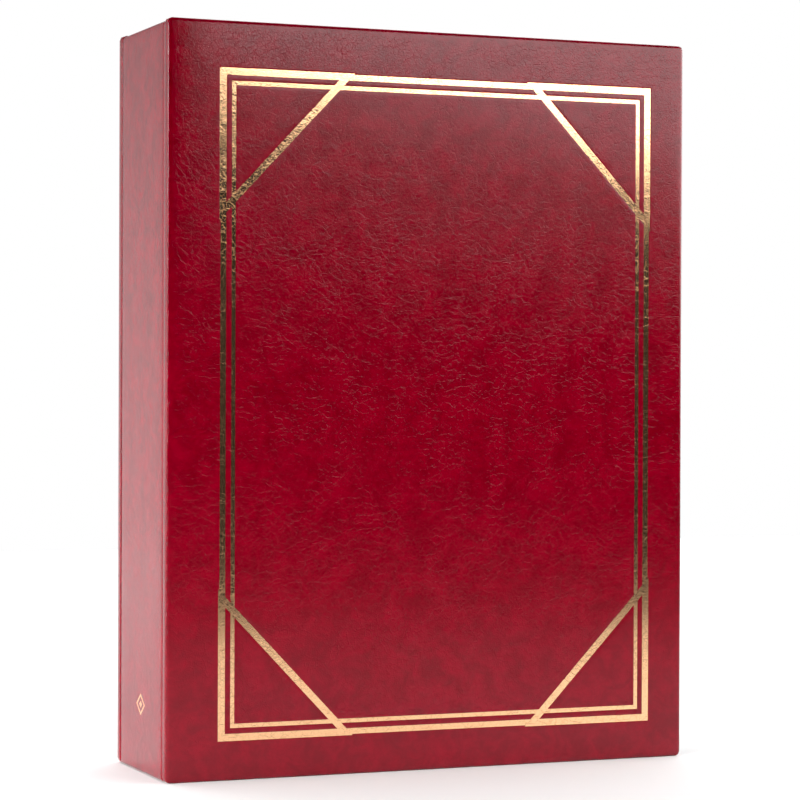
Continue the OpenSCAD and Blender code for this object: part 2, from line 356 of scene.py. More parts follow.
class Wiring:
    """Short forms for the nodes that every finish here is made of."""

    def __init__(self, tree):
        self.nodes, self.links = tree.nodes, tree.links

    def put(self, socket, value):
        if isinstance(value, bpy.types.NodeSocket):
            self.links.new(value, socket)
        elif value is not None:
            socket.default_value = value

    def math(self, kind, first, second=None, clamp=False):
        node = self.nodes.new("ShaderNodeMath")
        node.operation = kind
        node.use_clamp = clamp
        self.put(node.inputs[0], first)
        self.put(node.inputs[1], second)
        return node.outputs[0]

    def vector(self, kind, first, second=None, third=None):
        node = self.nodes.new("ShaderNodeVectorMath")
        node.operation = kind
        for socket, value in zip(node.inputs, (first, second, third)):
            self.put(socket, value)
        return node.outputs[0]

    def noise(self, place, scale, detail=3, roughness=0.5, distortion=0.0):
        node = self.nodes.new("ShaderNodeTexNoise")
        self.put(node.inputs["Vector"], place)
        node.inputs["Scale"].default_value = scale
        node.inputs["Detail"].default_value = detail
        node.inputs["Roughness"].default_value = roughness
        node.inputs["Distortion"].default_value = distortion
        return node

    def cracks(self, place, scale):
        node = self.nodes.new("ShaderNodeTexVoronoi")
        node.feature = "DISTANCE_TO_EDGE"
        self.put(node.inputs["Vector"], place)
        node.inputs["Scale"].default_value = scale
        return node.outputs["Distance"]

    def soften(self, value, low, high, to_low=0.0, to_high=1.0):
        node = self.nodes.new("ShaderNodeMapRange")
        node.interpolation_type = "SMOOTHSTEP"
        for socket, number in zip(node.inputs[1:5], (low, high, to_low, to_high)):
            socket.default_value = number
        self.put(node.inputs["Value"], value)
        return node.outputs[0]

    def blend(self, share, first, second):
        node = self.nodes.new("ShaderNodeMix")
        node.data_type = "RGBA"
        self.put(node.inputs["Factor"], share)
        for socket, colour in ((node.inputs["A"], first), (node.inputs["B"], second)):
            self.put(socket, (*colour, 1) if isinstance(colour, tuple) else colour)
        return node.outputs["Result"]

    def bump(self, height, distance):
        node = self.nodes.new("ShaderNodeBump")
        node.inputs["Strength"].default_value = 1.0
        node.inputs["Distance"].default_value = distance
        self.put(node.inputs["Height"], height)
        return node.outputs["Normal"]

    def object_place(self):
        return self.nodes.new("ShaderNodeTexCoord").outputs["Object"]

    def use(self, group, **values):
        node = self.nodes.new("ShaderNodeGroup")
        node.node_tree = group
        for label, value in values.items():
            self.put(node.inputs[label], value)
        return node.outputs


def new_finish(name):
    """A material, its principled shader's inputs, and the wiring of its tree."""
    material = bpy.data.materials.new(name)
    material.use_nodes = True
    tree = material.node_tree
    return material, tree.nodes["Principled BSDF"].inputs, Wiring(tree)


def leather_grain():
    """Embossed grain: pebbles between fine creases, long broken wrinkles, slow swells and drawn streaks."""
    group, given, out = new_group(
        "leather_grain",
        [("Vector", "NodeSocketVector", None), ("Cell", "NodeSocketFloat", LEATHER_CELL)],
        ("Height", "Crease", "Cloud"),
    )
    w = Wiring(group)
    cells = w.vector("DIVIDE", given["Vector"], given["Cell"])
    wander = w.noise(cells, scale=0.5, detail=3).outputs["Color"]
    bent = w.vector("MULTIPLY_ADD", wander, (1.8, 1.8, 1.8), cells)
    upright = w.vector("MULTIPLY", cells, (2.0, 2.0, 0.3))
    fine = w.soften(w.cracks(bent, scale=1.0), 0.0, 0.16)
    long = w.soften(w.cracks(bent, scale=0.3), 0.0, 0.06)
    patches = w.soften(w.noise(cells, scale=0.1, detail=5).outputs["Fac"], 0.34, 0.58)
    wrinkle = w.math("MULTIPLY", w.math("SUBTRACT", 1.0, long), patches)
    pebbles = w.noise(cells, scale=2.4, detail=4).outputs["Fac"]
    swell = w.noise(cells, scale=0.035, detail=2).outputs["Fac"]
    drawn = w.noise(upright, scale=1.0, detail=2).outputs["Fac"]
    height = 0.0
    for mask, share in ((fine, 0.45), (pebbles, 0.6), (wrinkle, -0.7), (swell, 4.0), (drawn, 0.35)):
        height = w.math("ADD", height, w.math("MULTIPLY", mask, share))
    crease = w.math("MULTIPLY", w.math("SUBTRACT", 1.0, fine), 0.4)
    crease = w.math("ADD", crease, w.math("MULTIPLY", wrinkle, 0.8), clamp=True)
    cloud = w.noise(given["Vector"], scale=110, detail=8, roughness=0.74, distortion=0.5).outputs["Fac"]
    for label, value in (("Height", height), ("Crease", crease), ("Cloud", cloud)):
        w.put(out[label], value)
    return group


def leatherette_finish():
    material, shader, w = new_finish("leatherette")
    grain = w.use(GRAIN, Vector=w.object_place())
    depth = w.soften(grain["Cloud"], 0.34, 0.66)
    colour = w.blend(depth, LEATHER_DEEP, LEATHER_RED)
    # Painted shade: the creases and wrinkles of the grain are darkened towards the deep red.
    colour = w.blend(w.math("MULTIPLY", grain["Crease"], CREASE_SHADE), colour, LEATHER_DEEP)
    w.put(shader["Base Color"], colour)
    w.put(shader["Roughness"], w.soften(grain["Crease"], 0.0, 0.6, *LEATHER_ROUGHNESS))
    w.put(shader["Normal"], w.bump(grain["Height"], LEATHER_BUMP))
    shader["IOR"].default_value = LEATHER_IOR
    return material


GRAIN = leather_grain()
LEATHERETTE = leatherette_finish()

# ---- Gold foil ----
# Hot-stamped foil, pressed into the padded face: a double line with a triangle across each corner. It is
# thin enough to take the leatherette's grain, so its mirror is broken up.

FOIL_THICK = 0.04 * MM
STAMP_WALL = 0.6 * MM
OUTER_LINE = (0.5 * MM, 2.9 * MM)
INNER_LINE = (5.2 * MM, 6.9 * MM)
CORNER_LEG = 58 * MM
CORNER_RISE = 61 * MM
CORNER_LEAN = CORNER_LEG / CORNER_RISE
CORNER_BAND = 2.9 * MM
CORNER_CUT = CORNER_BAND * math.hypot(1, CORNER_LEAN)
CUT_REACH = 9 * MM
NEAR = 0.005 * MM

FRAME_LO, FRAME_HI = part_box("front_foil_frame")
FRAME_U, FRAME_Z = FRAME_LO.x - CASE_LO.x, FRAME_LO.z - CASE_LO.z
FRAME_W, FRAME_H = FRAME_HI.x - FRAME_LO.x, FRAME_HI.z - FRAME_LO.z

FOIL_BRIGHT = (1.0, 0.60, 0.33)
FOIL_CREASE_SHADE = (0.86, 0.47, 0.24)
FOIL_ROUGHNESS = (0.08, 0.2)
FOIL_BUMP = 0.010 * MM
FOIL_METAL = 0.97


def in_frame(u, z):
    """True on the foil, in the front cover's width and height."""
    a, b = u - FRAME_U, z - FRAME_Z
    a, b = min(a, FRAME_W - a), min(b, FRAME_H - b)
    near = min(a, b)
    if near < -NEAR:
        return False
    leant = a + b * CORNER_LEAN
    if leant <= CORNER_LEG + NEAR:
        in_hypotenuse = leant >= CORNER_LEG - CORNER_CUT - NEAR
        if near <= CORNER_BAND + NEAR or in_hypotenuse:
            return True
    return any(low - NEAR <= near <= high + NEAR for low, high in (OUTER_LINE, INNER_LINE))


def frame_cuts():
    """The lines of the frame's own edges, and one a wall's width outside each."""
    cuts = []
    inner = (OUTER_LINE[1], INNER_LINE[1])
    outer = (0, OUTER_LINE[0], INNER_LINE[0])
    offsets = [*inner, *outer]
    offsets += [v + STAMP_WALL for v in inner] + [v - STAMP_WALL for v in outer]

    def chosen(level, axis):
        lows, sizes = (FRAME_U, FRAME_Z), (FRAME_W, FRAME_H)
        other = 1 - axis

        def test(*q):
            beside = abs(q[axis] - level) < CUT_REACH
            return beside and lows[other] - CUT_REACH < q[other] < lows[other] + sizes[other] + CUT_REACH
        return test

    for offset in offsets:
        for u in (FRAME_U + offset, FRAME_U + FRAME_W - offset):
            cuts.append(((u, 0), (0, 1), chosen(u, 0)))
        for z in (FRAME_Z + offset, FRAME_Z + FRAME_H - offset):
            cuts.append(((0, z), (1, 0), chosen(z, 1)))

    def in_corner(u, z, side, rise):
        def test(a, b):
            da, db = (a - u) * side, (b - z) * rise
            return min(da, db) > -CUT_REACH and da + db * CORNER_LEAN < CORNER_LEG + CUT_REACH
        return test

    wall = STAMP_WALL * math.hypot(1, CORNER_LEAN)
    inner_leg = CORNER_LEG - CORNER_CUT
    for u, side in ((FRAME_U, 1), (FRAME_U + FRAME_W, -1)):
        for z, rise in ((FRAME_Z, 1), (FRAME_Z + FRAME_H, -1)):
            for leg in (CORNER_LEG + wall, CORNER_LEG, inner_leg, inner_leg - wall):
                cuts.append(((u + side * leg, z), (-side * CORNER_LEAN, rise), in_corner(u, z, side, rise)))
    return cuts


def foil_sheet(name, outlines, outward, material):
    """Foil over the stamped faces, standing up from the bottom of the stamping by its own thickness."""
    bm = bmesh.new()
    found = {}
    for outline in outlines:
        corners = []
        for co in outline:
            key = tuple(round(c, 7) for c in co)
            if key not in found:
                found[key] = bm.verts.new(co)
            if found[key] not in corners:
                corners.append(found[key])
        if len(corners) > 2:
            bm.faces.new(corners)
    solid = bmesh.ops.extrude_face_region(bm, geom=list(bm.faces))
    lifted = [g for g in solid["geom"] if isinstance(g, bmesh.types.BMVert)]
    bmesh.ops.translate(bm, vec=Vector(outward) * FOIL_THICK, verts=lifted)
    bmesh.ops.recalc_face_normals(bm, faces=bm.faces)
    return new_piece(name, bm, material, 30)


def foil_finish():
    material, shader, w = new_finish("gold_foil")
    grain = w.use(GRAIN, Vector=w.object_place())
    # Painted shade: the foil turns a darker gold in the creases of the grain.
    w.put(shader["Base Color"], w.blend(grain["Crease"], FOIL_BRIGHT, FOIL_CREASE_SHADE))
    shader["Metallic"].default_value = FOIL_METAL
    w.put(shader["Roughness"], w.soften(grain["Crease"], 0.0, 0.8, *FOIL_ROUGHNESS))
    w.put(shader["Normal"], w.bump(grain["Height"], FOIL_BUMP))
    return material


GOLD_FOIL = foil_finish()

cover_size = (COVER_W, COVER_T, COVER_H)
cover_rounds = (FACE_ROUND, BACK_ROUND, CORNER_ROUND)
front_place = board_place((CASE_LO.x, CASE_LO.y, CASE_LO.z), (1, 0), (0, 1))
front_leather, frame_shape = board_wrap(
    "front_leatherette", cover_size, cover_rounds, cover_fall, front_place, LEATHERETTE,
    frame_cuts(), in_frame,
)
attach(front_leather, "front_cover")
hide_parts("front_skin")

gold_frame = foil_sheet("gold_frame", frame_shape, (0, -1, 0), GOLD_FOIL)
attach(gold_frame, "front_cover")
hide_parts("front_foil_frame")

BACK_LO, BACK_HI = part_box("back_skin")
back_place = board_place((BACK_LO.x, BACK_HI.y, BACK_LO.z), (1, 0), (0, -1))
back_leather, _ = board_wrap(
    "back_leatherette", cover_size, cover_rounds, cover_fall, back_place, LEATHERETTE,
)
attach(back_leather, "back_cover")
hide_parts("back_skin")

# ---- Spine panel ----
# A stiff board between the covers, wrapped in the same leatherette and a little shorter than they are, with
# a small lozenge of gold foil stamped near its foot.

PANEL_LO, PANEL_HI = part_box("spine_skin")
PANEL_T, PANEL_W, PANEL_H = PANEL_HI - PANEL_LO
PANEL_ROUNDS = (1.1 * MM, 0.8 * MM, 0.8 * MM)
PANEL_FALL = (0.15 * MM, 3 * MM)
MARK_LO, MARK_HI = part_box("spine_mark")
MARK_HALF_W, MARK_HALF_H = (MARK_HI.y - MARK_LO.y) / 2, (MARK_HI.z - MARK_LO.z) / 2
MARK_MIDDLE = (PANEL_W / 2, (MARK_LO.z + MARK_HI.z) / 2 - PANEL_LO.z)
MARK_RINGS = (1.0, 0.725, 1 / 3)


def panel_fall(u, _):
    depth, reach = PANEL_FALL
    return depth * (math.exp(-u / reach) + math.exp(-(PANEL_W - u) / reach))


def in_mark(u, z):
    ring = abs(u - MARK_MIDDLE[0]) / MARK_HALF_W + abs(z - MARK_MIDDLE[1]) / MARK_HALF_H
    outer, inner, centre = MARK_RINGS
    slack = NEAR / MARK_HALF_H
    return inner - slack <= ring <= outer + slack or ring <= centre + slack


def mark_cuts():
    """The lozenges' sides, and one a wall's width outside each."""
    wall = STAMP_WALL / MARK_HALF_H
    outer, inner, centre = MARK_RINGS

    def chosen(u, z):
        near_u = abs(u - MARK_MIDDLE[0]) < MARK_HALF_W + CUT_REACH / 2
        return near_u and abs(z - MARK_MIDDLE[1]) < MARK_HALF_H + CUT_REACH / 2

    cuts = []
    for ring in (outer + wall, outer, inner, inner - wall, centre + wall, centre):
        for side in (-1, 1):
            for rise in (-1, 1):
                start = (MARK_MIDDLE[0] + side * ring * MARK_HALF_W, MARK_MIDDLE[1])
                cuts.append((start, (-side * MARK_HALF_W, rise * MARK_HALF_H), chosen))
    return cuts


panel_place = board_place((PANEL_LO.x, PANEL_HI.y, PANEL_LO.z), (0, -1), (1, 0))
spine_leather, mark_shape = board_wrap(
    "spine_leatherette", (PANEL_W, PANEL_T, PANEL_H), PANEL_ROUNDS, panel_fall, panel_place, LEATHERETTE,
    mark_cuts(), in_mark,
)
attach(spine_leather, "spine")
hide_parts("spine_skin")

gold_lozenge = foil_sheet("gold_lozenge", mark_shape, (-1, 0, 0), GOLD_FOIL)
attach(gold_lozenge, "spine")
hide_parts("spine_mark")

# ---- Creases ----
# The leatherette runs on between each cover and the spine panel, pressed down into a narrow groove that
# works as the hinge. Inside, a strip of cloth joins the cover's inner face to the shoulder of the block.

CREASE_DEPTH = 0.7 * MM
CREASE_SHEET = 0.12 * MM
CREASE_LAP = 0.12 * MM
CREASE_END = 0.3 * MM
CREASE_STEPS = 8
JOINT_SHEET = 0.07 * MM
JOINT_END = 2 * MM
JOINT_STEPS = 6
JOINT_CLEAR = 0.06 * MM
JOINT_SET_IN = 0.9 * MM
JOINT_LAP = 4.4 * MM
HINGE_ROWS = 40

PASTE_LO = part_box("front_pastedown")[0]
LEAF_LO, LEAF_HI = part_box("front_flyleaf")


def bent_strip(name, path, thick, low, high, material):
    """A strip of the given path in plan, given a thickness and run up from low to high."""
    bm = bmesh.new()
    count = len(path)
    normals = []
    for k in range(count):
        way = path[min(k + 1, count - 1)] - path[max(k - 1, 0)]
        normals.append(Vector((-way.y, way.x)).normalized() * thick / 2)
    section = [p + n for p, n in zip(path, normals)] + [p - n for p, n in reversed(list(zip(path, normals)))]
    rows = []
    for r in range(HINGE_ROWS + 1):
        z = low + (high - low) * r / HINGE_ROWS
        rows.append([bm.verts.new((p.x, p.y, z)) for p in section])
    for below, above in zip(rows, rows[1:]):
        for k in range(len(section)):
            after = (k + 1) % len(section)
            bm.faces.new((below[k], below[after], above[after], above[k]))
    for row in (rows[0], rows[-1]):
        for k in range(count - 1):
            bm.faces.new((row[k], row[k + 1], row[-k - 2], row[-k - 1]))
    bmesh.ops.recalc_face_normals(bm, faces=bm.faces)
    return new_piece(name, bm, material)


def crease_path(side):
    """Across the groove, from inside the panel's skin to inside the cover's."""
    x = PANEL_LO.x + CREASE_DEPTH
    start, end = PANEL_LO.y + 2 * CREASE_LAP, CASE_HI.y - 2 * CREASE_LAP
    shares = [k / CREASE_STEPS for k in range(CREASE_STEPS + 1)]
    return [Vector((x, side * (start + (end - start) * share))) for share in shares]


def joint_path(side):
    """From the block's shoulder out along the panel's side, round at the hinge, and back on the turn-in."""
    beside_panel = PANEL_LO.y - JOINT_CLEAR
    on_cover = CASE_HI.y + JOINT_CLEAR
    outer = PANEL_LO.x + JOINT_SET_IN
    turn = (beside_panel - on_cover) / 2
    points = [(LEAF_LO.x - 0.1 * MM, LEAF_LO.y - 0.2 * MM), (PANEL_HI.x + 0.3 * MM, beside_panel + 0.2 * MM)]
    points += [(PANEL_HI.x - 0.4 * MM, beside_panel), (PANEL_HI.x - 1.4 * MM, beside_panel)]
    points.append((outer, beside_panel))
    for k in range(1, JOINT_STEPS):
        angle = math.pi * k / JOINT_STEPS
        points.append((outer - turn * math.sin(angle), beside_panel - turn * (1 - math.cos(angle))))
    points += [(outer, on_cover), (outer + 1.5 * MM, on_cover), (PASTE_LO.x + JOINT_LAP, on_cover)]
    return [Vector((x, -side * y)) for x, y in points]


def woven_cloth():
    """Plain weave in the plane of the first two coordinates, one thread to each pitch."""
    group, given, out = new_group(
        "woven_cloth",
        [("Vector", "NodeSocketVector", None), ("Pitch", "NodeSocketFloat", 0.5 * MM)],
        ("Height", "Thread"),
    )
    w = Wiring(group)
    spun = w.vector("DIVIDE", given["Vector"], given["Pitch"])
    uneven = w.noise(spun, scale=0.35, detail=2).outputs["Color"]
    spun = w.vector("MULTIPLY_ADD", uneven, (0.5, 0.5, 0), spun)
    split = w.nodes.new("ShaderNodeSeparateXYZ")
    w.put(split.inputs[0], spun)
    waves = [w.math("SINE", w.math("MULTIPLY", split.outputs[k], math.pi)) for k in (0, 1)]
    raised = []
    for own, other, sign in ((waves[0], waves[1], 0.3), (waves[1], waves[0], -0.3)):
        over = w.math("ADD", w.math("MULTIPLY", w.math("MULTIPLY", own, other), sign), 0.7)
        raised.append(w.math("MULTIPLY", w.math("ABSOLUTE", own), over))
    height = w.math("MAXIMUM", *raised)
    w.put(out["Height"], height)
    w.put(out["Thread"], w.soften(height, 0.2, 0.6))
    return group


WEAVE = woven_cloth()


def cloth_finish(name, colour, shade, pitch, turn=(0, 0, 0)):
    """Woven cloth in the plane that the turn lays flat."""
    material, shader, w = new_finish(name)
    lay = w.nodes.new("ShaderNodeMapping")
    lay.inputs["Rotation"].default_value = turn
    w.put(lay.inputs["Vector"], w.object_place())
    weave = w.use(WEAVE, Vector=lay.outputs[0], Pitch=pitch)
    mottle = w.noise(lay.outputs[0], scale=350).outputs["Fac"]
    # Painted shade: the darker colour fills the gaps between the threads. The mottle below darkens towards
    # it at random.
    colour = w.blend(weave["Thread"], shade, colour)
    w.put(shader["Base Color"], w.blend(w.math("MULTIPLY", mottle, 0.4), colour, shade))
    w.put(shader["Roughness"], w.soften(mottle, 0.3, 0.7, 0.75, 0.9))
    w.put(shader["Normal"], w.bump(weave["Height"], 0.1 * MM))
    shader["Sheen Weight"].default_value = 0.2
    return material


FACING_SPINE = (0, math.pi / 2, 0)
FACING_COVER = (math.pi / 2, 0, 0)
JOINT_CLOTH = cloth_finish("joint_cloth", (0.50, 0.44, 0.32), (0.24, 0.20, 0.13), 0.35 * MM, FACING_COVER)

for side, body in ((1, "front_cover"), (-1, "back_cover")):
    word = body.split("_")[0]
    crease = bent_strip(
        f"{word}_crease", crease_path(side), CREASE_SHEET,
        PANEL_LO.z + CREASE_END, PANEL_HI.z - CREASE_END, LEATHERETTE,
    )
    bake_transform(crease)
    cloth = bent_strip(
        f"{word}_joint_cloth", joint_path(-side), JOINT_SHEET,
        LEAF_LO.z + JOINT_END, LEAF_HI.z - JOINT_END, JOINT_CLOTH,
    )
    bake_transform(cloth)

# ---- Inside the covers ----
# White foam under the skin, then greyboard, then the endpaper pasted over the turn-ins. The spine panel has
# a board too, with a strip of card between its turn-ins.

PADDING_LO, PADDING_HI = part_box("front_padding")
FOAM_T = PADDING_HI.y - PADDING_LO.y
FOAM_ROUND = FACE_ROUND - SKIN
FOAM_ROUND_STEPS = 5
FOAM_STEP = 4 * MM
FOAM_TOP = 1.1 * SKIN
PORE = 0.4 * MM


def graded(length):
    """Positions from 0 to length across the foam, close together over the rounding at both ends."""
    near = [FOAM_ROUND * k / FOAM_ROUND_STEPS for k in range(FOAM_ROUND_STEPS)]
    flat = length - 2 * FOAM_ROUND
    count = round(flat / FOAM_STEP)
    middle = [FOAM_ROUND + flat * k / count for k in range(count + 1)]
    return near + middle + [length - v for v in reversed(near)]


def close_slab(bm, top, base, across, up):
    """Faces over two grids of vertices, keyed by column and row, and round the rim between them."""
    for i in range(across):
        for j in range(up):
            for layer in (top, base):
                bm.faces.new((layer[i, j], layer[i + 1, j], layer[i + 1, j + 1], layer[i, j + 1]))
    for i in range(across):
        for j in (0, up):
            bm.faces.new((top[i, j], top[i + 1, j], base[i + 1, j], base[i, j]))
    for j in range(up):
        for i in (0, across):
            bm.faces.new((top[i, j], top[i, j + 1], base[i, j + 1], base[i, j]))
    bmesh.ops.recalc_face_normals(bm, faces=bm.faces)


def foam_layer(name, place, material):
    """Foam between skin and board, crowned like the face above it and rounded off at its edges."""
    width, height = PADDING_HI.x - PADDING_LO.x, PADDING_HI.z - PADDING_LO.z
    us, zs = graded(width), graded(height)
    bm = bmesh.new()
    top, base = {}, {}
    for i, u in enumerate(us):
        for j, z in enumerate(zs):
            edge = min(u, width - u, z, height - z)
            over = max(FOAM_ROUND - edge, 0.0)
            drop = FOAM_ROUND - math.sqrt(FOAM_ROUND ** 2 - over ** 2)
            fall = cover_fall(u + SKIN, z + SKIN) * (1 - drop / FOAM_ROUND)
            top[i, j] = bm.verts.new((u + SKIN, FOAM_TOP + drop + fall, z + SKIN))
            base[i, j] = bm.verts.new((u + SKIN, SKIN + FOAM_T, z + SKIN))
    bm.transform(place)
    close_slab(bm, top, base, len(us) - 1, len(zs) - 1)
    return new_piece(name, bm, material)


def foam_finish():
    material, shader, w = new_finish("foam")
    place = w.object_place()
    pores = w.cracks(place, scale=1 / PORE)
    # Painted shade: the hollows of the pores are darker than the cell walls round them.
    w.put(shader["Base Color"], w.blend(w.soften(pores, 0, 0.3), (0.80, 0.78, 0.70), (0.60, 0.57, 0.48)))
    shader["Roughness"].default_value = 0.95
    w.put(shader["Normal"], w.bump(pores, 0.15 * MM))
    return material


def fibre_finish(name, colour, fleck, roughness, coarse):
    """Board, card or paper: short pressed fibres, with flecks of another tone."""
    material, shader, w = new_finish(name)
    place = w.object_place()
    fibres = w.noise(place, scale=1 / coarse, detail=6, roughness=0.7).outputs["Fac"]
    flecks = w.soften(w.noise(place, scale=0.4 / coarse).outputs["Fac"], 0.55, 0.72)
    cloudy = w.soften(w.noise(place, scale=18).outputs["Fac"], 0.3, 0.7, 0.0, 0.35)
    tone = w.blend(w.math("MAXIMUM", flecks, cloudy), colour, fleck)
    w.put(shader["Base Color"], tone)
    w.put(shader["Roughness"], w.soften(fibres, 0.3, 0.7, roughness - 0.08, roughness + 0.08))
    w.put(shader["Normal"], w.bump(fibres, 0.02 * MM))
    return material


def show_as(material, *nodes):
    for node in nodes:
        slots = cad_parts[node].data.materials
        slots.clear()
        slots.append(material)


FOAM = foam_finish()
GREYBOARD = fibre_finish("greyboard", (0.27, 0.235, 0.185), (0.13, 0.11, 0.085), 0.9, 0.6 * MM)
ENDPAPER = fibre_finish("endpaper", (0.78, 0.71, 0.55), (0.66, 0.58, 0.43), 0.72, 0.25 * MM)
show_as(GREYBOARD, "front_board", "back_board", "spine_board")
show_as(ENDPAPER, "front_pastedown", "back_pastedown", "spine_lining", "front_flyleaf", "back_flyleaf")

for word, place in (("front", front_place), ("back", back_place)):
    foam = foam_layer(f"{word}_foam", place, FOAM)
    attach(foam, f"{word}_cover")
    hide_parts(f"{word}_padding")

# ---- Sewn back ----
# The folios are sewn with waxed linen thread over three woven tapes, and open-weave mull is glued across the
# whole back, so that the block holds together and to the case.

PLY_PITCH = 0.45 * MM
PLY_SLANT = 1.4

MULL = cloth_finish("mull", (0.62, 0.56, 0.43), (0.20, 0.17, 0.12), 0.9 * MM, FACING_SPINE)
TAPE = cloth_finish("linen_tape", (0.76, 0.70, 0.56), (0.42, 0.37, 0.27), 0.4 * MM, FACING_SPINE)


def thread_finish(name, colour, shade):
    """Two plies twisted together and waxed."""
    material, shader, w = new_finish(name)
    split = w.nodes.new("ShaderNodeSeparateXYZ")
    w.put(split.inputs[0], w.object_place())
    level = w.math("ADD", split.outputs["X"], split.outputs["Y"])
    slant = w.math("ADD", split.outputs["Z"], w.math("MULTIPLY", level, PLY_SLANT))
    twist = w.math("ABSOLUTE", w.math("SINE", w.math("MULTIPLY", slant, math.pi / PLY_PITCH)))
    # Painted shade: the grooves between the plies take the darker colour.
    w.put(shader["Base Color"], w.blend(twist, shade, colour))
    shader["Roughness"].default_value = 0.5
    w.put(shader["Normal"], w.bump(twist, 0.06 * MM))
    return material


LINEN_THREAD = thread_finish("linen_thread", (0.80, 0.76, 0.64), (0.45, 0.40, 0.30))
show_as(MULL, "mull_cloth")
show_as(TAPE, "sewing_tapes")
show_as(LINEN_THREAD, "sewing_thread")

# ---- Head and tail bands ----
# A cord wound with silk in blocks of two colours, glued across the ends of the folds so that it shows
# between the spine panel and the leaves.

SILK_R = 0.19 * MM
SILK_PITCH = 0.36 * MM
SILK_BLOCK = 7
RED_SILK = thread_finish("red_silk", (0.42, 0.010, 0.030), (0.16, 0.003, 0.010))
CREAM_SILK = thread_finish("cream_silk", (0.85, 0.78, 0.60), (0.52, 0.45, 0.32))


def winding_tree():
    """Rings of silk in a row along Y, in blocks of two colours."""
    tree = bpy.data.node_groups.new("band_winding", "GeometryNodeTree")
    sockets = {}
    for label, kind, value in (
        ("Start", "NodeSocketVector", (0, 0, 0)), ("Rings", "NodeSocketInt", 10),
        ("Pitch", "NodeSocketFloat", SILK_PITCH), ("Cord Radius", "NodeSocketFloat", 1 * MM),
        ("Silk Radius", "NodeSocketFloat", SILK_R), ("Block", "NodeSocketFloat", SILK_BLOCK),
        ("First Silk", "NodeSocketMaterial", None), ("Second Silk", "NodeSocketMaterial", None),
    ):
        sockets[label] = tree.interface.new_socket(label, in_out="INPUT", socket_type=kind)
        if value is not None:
            sockets[label].default_value = value
    tree.interface.new_socket("Geometry", in_out="OUTPUT", socket_type="NodeSocketGeometry")
    nodes, links = tree.nodes, tree.links
    given = nodes.new("NodeGroupInput").outputs
    step = nodes.new("ShaderNodeCombineXYZ")
    links.new(given["Pitch"], step.inputs["Y"])
    row = nodes.new("GeometryNodeMeshLine")
    row.mode = "OFFSET"
    links.new(given["Rings"], row.inputs["Count"])
    links.new(given["Start"], row.inputs["Start Location"])
    links.new(step.outputs[0], row.inputs["Offset"])
    loop = nodes.new("GeometryNodeCurvePrimitiveCircle")
    loop.inputs["Resolution"].default_value = 18
    links.new(given["Cord Radius"], loop.inputs["Radius"])
    silk = nodes.new("GeometryNodeCurvePrimitiveCircle")
    silk.inputs["Resolution"].default_value = 6
    links.new(given["Silk Radius"], silk.inputs["Radius"])
    ring = nodes.new("GeometryNodeCurveToMesh")
    links.new(loop.outputs["Curve"], ring.inputs["Curve"])
    links.new(silk.outputs["Curve"], ring.inputs["Profile Curve"])
    index = nodes.new("GeometryNodeInputIndex")
    block = nodes.new("ShaderNodeMath")
    block.operation = "DIVIDE"
    links.new(index.outputs[0], block.inputs[0])
    links.new(given["Block"], block.inputs[1])
    whole = nodes.new("ShaderNodeMath")
    whole.operation = "FLOOR"
    links.new(block.outputs[0], whole.inputs[0])
    odd = nodes.new("ShaderNodeMath")
    odd.operation = "MODULO"
    odd.inputs[1].default_value = 2
    links.new(whole.outputs[0], odd.inputs[0])
    even = nodes.new("ShaderNodeMath")
    even.operation = "SUBTRACT"
    even.inputs[0].default_value = 1
    links.new(odd.outputs[0], even.inputs[1])
    join = nodes.new("GeometryNodeJoinGeometry")
    for share, label in ((odd, "First Silk"), (even, "Second Silk")):
        place = nodes.new("GeometryNodeInstanceOnPoints")
        place.inputs["Rotation"].default_value = (math.pi / 2, 0, 0)
        links.new(row.outputs["Mesh"], place.inputs["Points"])
        links.new(share.outputs[0], place.inputs["Selection"])
        links.new(ring.outputs["Mesh"], place.inputs["Instance"])
        real = nodes.new("GeometryNodeRealizeInstances")
        links.new(place.outputs[0], real.inputs[0])
        paint = nodes.new("GeometryNodeSetMaterial")
        links.new(real.outputs[0], paint.inputs["Geometry"])
        links.new(given[label], paint.inputs["Material"])
        links.new(paint.outputs[0], join.inputs[0])
    smooth = nodes.new("GeometryNodeSetShadeSmooth")
    links.new(join.outputs[0], smooth.inputs[0])
    links.new(smooth.outputs[0], nodes.new("NodeGroupOutput").inputs["Geometry"])
    return tree, {label: socket.identifier for label, socket in sockets.items()}


def bake_tree(name, tree, values):
    """Runs a geometry tree once and keeps its result as a plain mesh."""
    seed = bpy.data.objects.new(name + "_seed", bpy.data.meshes.new(name + "_seed"))
    scene.collection.objects.link(seed)
    modifier = seed.modifiers.new("tree", "NODES")
    modifier.node_group = tree
    for identifier, value in values.items():
        modifier[identifier] = value
    seed.update_tag()
    bpy.context.view_layer.update()
    mesh = bpy.data.meshes.new_from_object(seed.evaluated_get(bpy.context.evaluated_depsgraph_get()))
    mesh.name = name
    bpy.data.objects.remove(seed)
    piece = bpy.data.objects.new(name, mesh)
    scene.collection.objects.link(piece)
    return piece


WINDING, WINDING_INPUTS = winding_tree()

for node in ("head_band", "tail_band"):
    low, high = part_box(node)
    middle = (low + high) / 2
    rings = int((high.y - low.y - 2 * SILK_R) / SILK_PITCH)
    start = (middle.x, middle.y - (rings - 1) * SILK_PITCH / 2, middle.z)
    band = bake_tree(f"{node}_winding", WINDING, {
        WINDING_INPUTS[label]: value for label, value in (
            ("Start", start), ("Rings", rings), ("Pitch", SILK_PITCH),
            ("Cord Radius", (high.z - low.z) / 2 - SILK_R), ("Silk Radius", SILK_R), ("Block", SILK_BLOCK),
            ("First Silk", RED_SILK), ("Second Silk", CREAM_SILK),
        )
    })
    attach(band, "spine")
    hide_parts(node)

